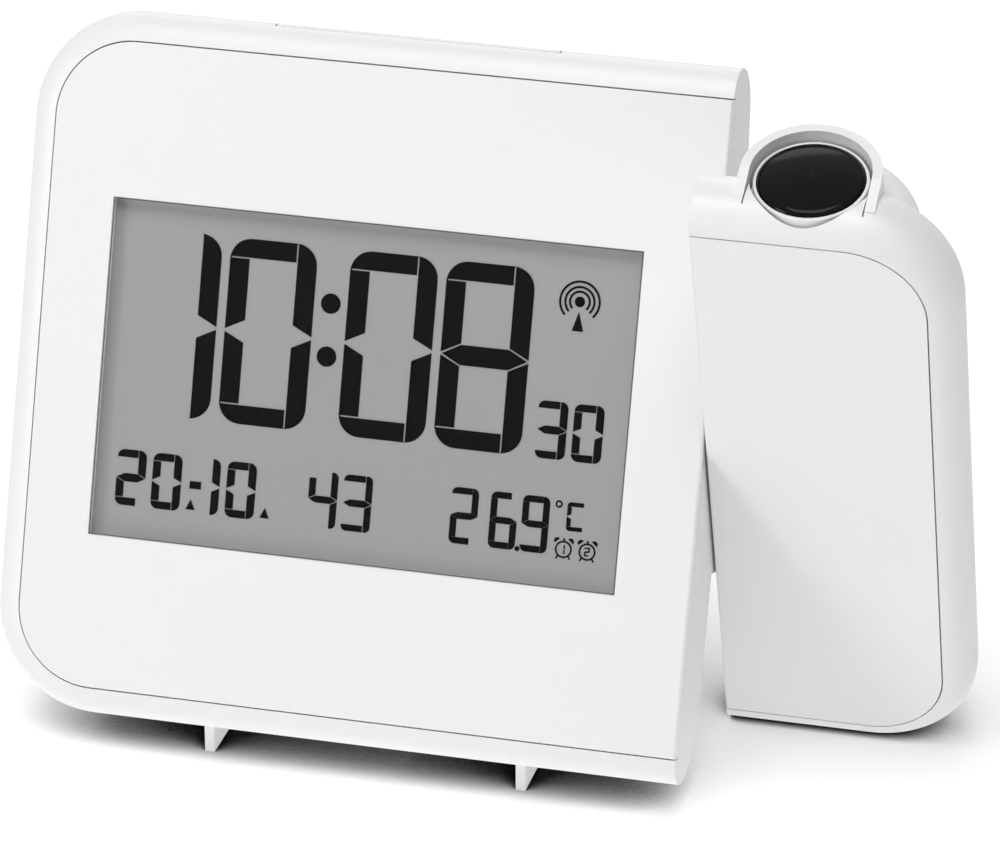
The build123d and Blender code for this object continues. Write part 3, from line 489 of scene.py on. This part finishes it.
# ---------------------------------------------------------------- circuit boards
# Glass-fibre laminate under green solder mask.  Copper tracks raise it in a fine maze,
# and the mask shines softly over them.
track_repeat, track_depth = 8.0, 0.00003
solder_mask, place = start_finish("solder_mask")
tracks = add_node(solder_mask, "TexBrick",
                  {"Color1": linear("#1E6B43"), "Color2": linear("#23774B"), "Mortar": linear("#174F33"),
                   "Scale": per_metre(track_repeat), "Mortar Size": 0.05}, {"Vector": place})
track_bump = add_node(solder_mask, "Bump", {"Strength": 0.6, "Distance": track_depth},
                      {"Height": tracks.outputs["Fac"]})
board = add_node(solder_mask, "BsdfPrincipled", {"IOR": 1.55, "Roughness": 0.32},
                 {"Base Color": tracks.outputs["Color"], "Normal": track_bump.outputs["Normal"]})
add_node(solder_mask, "OutputMaterial", links={"Surface": board.outputs["BSDF"]})
dress(solder_mask, "main_circuit_board", "arm_circuit_board")


# ---------------------------------------------------------------- switches, buzzer and socket
# Black glass-filled nylon, moulded by their makers and soldered to the board: matt, with
# the fine mottle of the glass fibres.
mottle_sheen_spread = 0.06
mottle_strength, mottle_depth = 0.3, 0.00001


def mottled(name, colour, fleck, roughness, fleck_size, ior, metal=0.0):
    """Finish of one colour mottled with another, in flecks of that size in mm."""
    finish, place = start_finish(name)
    spots = add_node(finish, "TexNoise", {"Scale": per_metre(fleck_size), "Detail": 4.0}, {"Vector": place})
    tint = add_node(finish, "MixRGB", {"Color1": linear(colour), "Color2": linear(fleck)},
                    {"Fac": spots.outputs["Fac"]})
    sheen = add_node(finish, "MapRange", {"To Min": roughness - mottle_sheen_spread,
                                          "To Max": roughness + mottle_sheen_spread},
                     {"Value": spots.outputs["Fac"]})
    bump = add_node(finish, "Bump", {"Strength": mottle_strength, "Distance": mottle_depth},
                    {"Height": spots.outputs["Fac"]})
    surface = add_node(finish, "BsdfPrincipled", {"IOR": ior, "Metallic": metal},
                       {"Base Color": tint.outputs["Color"], "Roughness": sheen.outputs["Result"],
                        "Normal": bump.outputs["Normal"]})
    add_node(finish, "OutputMaterial", links={"Surface": surface.outputs["BSDF"]})
    return finish


filled_nylon = mottled("filled_nylon", "#17171A", "#202023", 0.55, 0.5, 1.53)
dress(filled_nylon, "key_switches", "snooze_switch", "alarm_buzzer", "supply_socket")


# ---------------------------------------------------------------- chip and sensor
# The clock chip lies under black epoxy resin, poured and cured glossy, and so does the bead
# of the temperature sensor.
potting_epoxy = mottled("potting_epoxy", "#0C0C0D", "#141415", 0.25, 2.0, 1.55)
dress(potting_epoxy, "clock_chip", "temperature_sensor")


# ---------------------------------------------------------------- crystal and radio antenna
# The quartz crystal is a drawn can plated with bright nickel.  The antenna is a rod of
# sintered ferrite, matt dark grey, with a winding of enamelled copper wire.
metal_ior = 1.5         # the shader's own default, which every metal here keeps
bright_nickel = mottled("bright_nickel", "#D9D6CE", "#CFCCC4", 0.2, 1.5, metal_ior, metal=1.0)
dress(bright_nickel, "quartz_crystal")
sintered_ferrite = mottled("sintered_ferrite", "#2A2828", "#383534", 0.7, 0.4, 1.6)
dress(sintered_ferrite, "antenna_rod")

# The turns are drawn at twice the pitch of the real wire.  A wave texture of scale 1 has
# ten bands in a length of pi.
wire_pitch, wire_depth = 0.79, 0.00012
copper_winding, place = start_finish("copper_winding")
turns = add_node(copper_winding, "TexWave", {"Scale": per_metre(wire_pitch) * pi / 10}, {"Vector": place},
                 bands_direction="X")
turn_bump = add_node(copper_winding, "Bump", {"Strength": 1.0, "Distance": wire_depth},
                     {"Height": turns.outputs["Fac"]})
winding = add_node(copper_winding, "BsdfPrincipled",
                   {"Base Color": linear("#C57B45"), "Metallic": 1.0, "Roughness": 0.28},
                   {"Normal": turn_bump.outputs["Normal"]})
add_node(copper_winding, "OutputMaterial", links={"Surface": winding.outputs["BSDF"]})
dress(copper_winding, "antenna_coil")


# ---------------------------------------------------------------- batteries and spring metal
# Two cells in steel cans with a plain grey-blue jacket of printed film.  Their contacts are
# nickel-plated spring steel strip, pressed into the bay's end walls, and the clip and the
# washer of the hinge are cut from the same steel.
jacket_film = mottled("jacket_film", "#3E4C5C", "#465566", 0.3, 6.0, 1.5)
dress(jacket_film, "battery_cells")
nickel_spring_steel = mottled("nickel_spring_steel", "#C9C7C0", "#BEBCB6", 0.32, 1.0, metal_ior, metal=1.0)
dress(nickel_spring_steel, "battery_contacts", "hinge_clip", "hinge_washer")


# ---------------------------------------------------------------- door, bar, feet and head
# Small ABS mouldings of the same white as the housings: the battery door, the snooze bar in
# the top, the two fins that the display stands on and the lens mount.  The focus ring comes
# from a stoned tool and is a shade glossier.
dress(eroded_white_abs, "battery_door", "snooze_bar", "foot_left", "foot_right", "lens_mount")
stoned_ring_abs = moulded_abs("stoned_ring_abs", "#EAEAEA", "#E8E8E8", 0.3, 0.8, 0.003)
dress(stoned_ring_abs, "focus_ring")


# ---------------------------------------------------------------- keys
# Six round keys in the back, moulded in ABS of a slightly cooler white than the case, with
# a soft grain for the fingertip.
key_abs = moulded_abs("key_abs", "#E9EAEC", "#E5E6E8", 0.36, 0.6, 0.005)
dress(key_abs, "key_set", "key_mode", "key_up", "key_down", "key_alarm", "key_signal")


# ---------------------------------------------------------------- screws
# Self-tapping screws of zinc-plated steel hold both housings to their panels from the back.
# The plating has a fine crystalline mottle.
zinc_plate = mottled("zinc_plate", "#B9BCC0", "#A6A9AE", 0.3, 0.7, metal_ior, metal=1.0)
dress(zinc_plate, "case_screws", "arm_screws")


# ---------------------------------------------------------------- projection lens
# A dome of dark tinted acrylic, polished and coated against glare, pressed into the focus
# ring.  The coating takes most of the reflection, so it looks near black with soft lights.
tinted_acrylic, place = start_finish("tinted_acrylic")
haze = add_node(tinted_acrylic, "TexNoise", {"Scale": per_metre(5.0), "Detail": 1.0}, {"Vector": place})
lens_polish = add_node(tinted_acrylic, "MapRange", {"To Min": 0.08, "To Max": 0.12},
                       {"Value": haze.outputs["Fac"]})
dome = add_node(tinted_acrylic, "BsdfPrincipled",
                {"Base Color": linear("#060606"), "IOR": acrylic_ior, "Specular IOR Level": 0.1},
                {"Roughness": lens_polish.outputs["Result"]})
add_node(tinted_acrylic, "OutputMaterial", links={"Surface": dome.outputs["BSDF"]})
dress(tinted_acrylic, "projection_lens")


# ---------------------------------------------------------------- condenser and light
# The condenser lens is moulded in clear polycarbonate, and the light-emitting diode is cast
# in clear epoxy: colourless and smooth, with a slight unevenness from the mould.
clear_moulding, place = start_finish("clear_moulding")
cast = add_node(clear_moulding, "TexNoise", {"Scale": per_metre(3.0)}, {"Vector": place})
smooth = add_node(clear_moulding, "MapRange", {"To Min": 0.02, "To Max": 0.07},
                  {"Value": cast.outputs["Fac"]})
clear = add_node(clear_moulding, "BsdfPrincipled",
                 {"Base Color": linear("#F4F6FA"), "IOR": 1.58, "Transmission Weight": 1.0},
                 {"Roughness": smooth.outputs["Result"]})
add_node(clear_moulding, "OutputMaterial", links={"Surface": clear.outputs["BSDF"]})
dress(clear_moulding, "condenser_lens", "projection_led")


# ---------------------------------------------------------------- light table
# The clock stands on a light table of opal acrylic.  Its glow fills the undersides of the
# clock.  Where the camera sees it, a painted shadow darkens it: a close dark one under the
# clock and a faint wide one round it, and far out it is as bright as the white surround.
table_glow = 0.36
table_seen = 0.40
far_table_seen = 0.95
fade_start, fade_end = 0.6, 1.6

light_table, place = start_finish("light_table")
opal = add_node(light_table, "TexNoise", {"Scale": per_metre(3.0), "Detail": 3.0}, {"Vector": place})
table_tint = add_node(light_table, "MixRGB", {"Color1": linear("#F4F4F4"), "Color2": linear("#F2F2F2")},
                      {"Fac": opal.outputs["Fac"]})
table_top = add_node(light_table, "BsdfDiffuse", links={"Color": table_tint.outputs["Color"]})
table_ray = add_node(light_table, "LightPath")
way_out = add_node(light_table, "VectorMath", links={0: place}, operation="LENGTH")
light_seen = add_node(light_table, "MapRange",
                      {"From Min": fade_start, "From Max": fade_end, "To Min": table_seen,
                       "To Max": far_table_seen},
                      {"Value": way_out.outputs["Value"]})
glow_strength = add_node(light_table, "MapRange", {"To Min": table_glow},
                         {"Value": table_ray.outputs["Is Camera Ray"],
                          "To Max": light_seen.outputs["Result"]})
glow = add_node(light_table, "Emission", {"Color": linear("#FFFFFF")},
                {"Strength": glow_strength.outputs["Result"]})
lit_table = add_node(light_table, "AddShader", links={0: table_top.outputs["BSDF"],
                                                      1: glow.outputs["Emission"]})

# The close painted shadow looks from each spot towards the front, where the light comes
# from.  The steps pair how open the sky is in that direction with the light that the spot keeps.
shadow_reach = 0.020
close_steps = ((0.44, 0.0), (0.49, 0.10), (0.57, 0.25), (0.62, 0.47), (0.70, 0.90), (0.80, 0.98),
               (0.92, 1.0))
toward_front = add_node(light_table, "CombineXYZ", {"X": 0.15, "Y": -0.7, "Z": 0.698})
openness = add_node(light_table, "AmbientOcclusion", {"Distance": shadow_reach},
                    {"Normal": toward_front.outputs["Vector"]}, samples=16)
close_shade = add_node(light_table, "ValToRGB", links={"Fac": openness.outputs["AO"]})
ramp = close_shade.color_ramp.elements
for open_share, light_share in close_steps[1:-1]:
    ramp.new(open_share).color = (light_share, light_share, light_share, 1)
for end in (0, -1):
    open_share, light_share = close_steps[end]
    ramp[end].position = open_share
    ramp[end].color = (light_share, light_share, light_share, 1)

# The wide painted shadow looks to the front left in the same way.  It takes three tenths of
# the light at most.
far_reach = 0.080
least_light = 0.7
least_open, most_open = 0.4, 0.95
toward_front_left = add_node(light_table, "CombineXYZ", {"X": -0.6, "Y": -0.6, "Z": 0.529})
far_openness = add_node(light_table, "AmbientOcclusion", {"Distance": far_reach},
                        {"Normal": toward_front_left.outputs["Vector"]}, samples=16)
far_shade = add_node(light_table, "MapRange",
                     {"From Min": least_open, "From Max": most_open, "To Min": least_light},
                     {"Value": far_openness.outputs["AO"]})
both_shades = add_node(light_table, "Math", links={0: close_shade.outputs["Color"],
                                                   1: far_shade.outputs["Result"]},
                       operation="MULTIPLY")
# Painted shadow: the near-black ground that the camera sees where the painted shadow lies on the table.
painted_shadow_ground = add_node(light_table, "BsdfDiffuse", {"Color": linear("#050505")})
shaded_table = add_node(light_table, "MixShader", links={"Fac": both_shades.outputs["Value"],
                                                         1: painted_shadow_ground.outputs["BSDF"],
                                                         2: lit_table.outputs["Shader"]})
seen_table = add_node(light_table, "MixShader", links={"Fac": table_ray.outputs["Is Camera Ray"],
                                                       1: lit_table.outputs["Shader"],
                                                       2: shaded_table.outputs["Shader"]})
add_node(light_table, "OutputMaterial", links={"Surface": seen_table.outputs["Shader"]})

floor_radius = 6.0
floor_form = bmesh.new()
bmesh.ops.create_circle(floor_form, cap_ends=True, segments=64, radius=floor_radius)
floor = add_piece("studio_floor", floor_form, light_table)


# ---------------------------------------------------------------- surround and soft boxes
# A white surround, which the camera sees at full white and which lights the clock far less,
# and four square soft boxes: a strong one above, one low on the left, and weaker ones on
# the right and behind.
surround_light = 0.18
surround = bpy.data.worlds.new("studio_surround")
bpy.context.scene.world = surround
surround.use_nodes = True
surround.node_tree.nodes.clear()
surround_ray = add_node(surround, "LightPath")
seen_or_mirrored = add_node(surround, "Math", links={0: surround_ray.outputs["Is Camera Ray"],
                                                     1: surround_ray.outputs["Is Glossy Ray"]},
                            operation="ADD")
seen_any_way = add_node(surround, "Math", links={0: seen_or_mirrored.outputs["Value"],
                                                 1: surround_ray.outputs["Is Transmission Ray"]},
                        operation="ADD", use_clamp=True)
ambient = add_node(surround, "Background", {"Color": linear("#FFFFFF"), "Strength": surround_light})
backdrop = add_node(surround, "Background", {"Color": linear("#FFFFFF"), "Strength": 1.0})
whole_surround = add_node(surround, "MixShader", links={"Fac": seen_any_way.outputs["Value"],
                                                        1: ambient.outputs["Background"],
                                                        2: backdrop.outputs["Background"]})
add_node(surround, "OutputWorld", links={"Surface": whole_surround.outputs["Shader"]})

clock_middle = (cad_box[0] + cad_box[1]) / 2
lamp_distance = 1.3


def soft_box(name, direction, size, watts):
    """Square lamp that looks at the clock from a direction."""
    lamp = bpy.data.lights.new(name, "AREA")
    lamp.shape = "SQUARE"
    lamp.size = size
    lamp.energy = watts
    box = bpy.data.objects.new(name, lamp)
    toward = Vector(direction).normalized()
    box.location = clock_middle + toward * lamp_distance
    box.rotation_euler = toward.to_track_quat("Z", "Y").to_euler()
    bpy.context.scene.collection.objects.link(box)


soft_box("soft_box_above", (0, -0.3, 1.0), size=0.8, watts=10.8)
soft_box("soft_box_right", (0.6, -0.6, 1.0), size=0.8, watts=1.0)
soft_box("soft_box_left", (-0.8, -0.75, 0.25), size=0.45, watts=4.45)
soft_box("soft_box_behind", (-0.3, 1.0, 0.6), size=0.8, watts=3.0)


# ---------------------------------------------------------------- camera
# A long lens looks down on the clock from a little to the right of its front.
camera_azimuth = radians(14.447)
camera_elevation = radians(25.593)
camera_data = bpy.data.cameras.new("studio_camera")
camera_data.lens = 210.12
camera_data.sensor_width = 36.0
camera_data.sensor_fit = "HORIZONTAL"
camera_data.clip_end = 30.0
camera = bpy.data.objects.new("studio_camera", camera_data)
camera.location = Vector((0.21119, -0.81358, 0.45790))
looking = Vector((-sin(camera_azimuth) * cos(camera_elevation), cos(camera_azimuth) * cos(camera_elevation),
                  -sin(camera_elevation)))
camera.rotation_euler = looking.to_track_quat("-Z", "Y").to_euler()
bpy.context.scene.collection.objects.link(camera)
bpy.context.scene.camera = camera
bpy.context.scene.view_settings.view_transform = "Standard"
